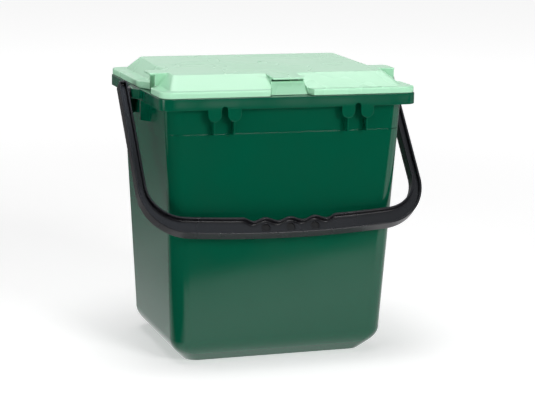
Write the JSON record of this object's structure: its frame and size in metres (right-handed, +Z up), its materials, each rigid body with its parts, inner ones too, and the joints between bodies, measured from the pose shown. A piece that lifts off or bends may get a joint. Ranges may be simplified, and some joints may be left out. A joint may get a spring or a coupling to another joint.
{
  "type": "kitchen compost caddy",
  "caption": "Tapered kitchen compost caddy: dark green tub, hinged mint lid with a finger tab and side wings, and a black swinging bail handle with a finger grip.",
  "frame": {"origin": "middle of the flat base, on the surface that the caddy stands on", "axes": "+X across the front to the viewer's right, +Y to the back with the lid's hinge, the front with the finger tab towards -Y, +Z up"},
  "size_m": [0.2928, 0.2339, 0.2877],
  "materials": {
    "dark_green_polypropylene": "smooth injection-moulded polypropylene, satin gloss",
    "mint_polypropylene": "smooth injection-moulded polypropylene, satin gloss",
    "black_polypropylene": "smooth injection-moulded polypropylene, satin"
  },
  "bodies": {
    "tub": {"tub": "dark_green_polypropylene"},
    "lid": {"lid": "mint_polypropylene"},
    "handle": {"handle": "black_polypropylene"}
  },
  "joints": [
    {"name": "lid_hinge", "type": "hinge", "parent": "tub", "child": "lid", "pos_m": [0, 0.1125, 0.2665], "axis": [-1, 0, 0], "range_deg": [0, 115]},
    {"name": "handle_pivot", "type": "hinge", "parent": "tub", "child": "handle", "pos_m": [0, -0.0037, 0.2615], "axis": [-1, 0, 0], "range_deg": [0, 276]}
  ]
}
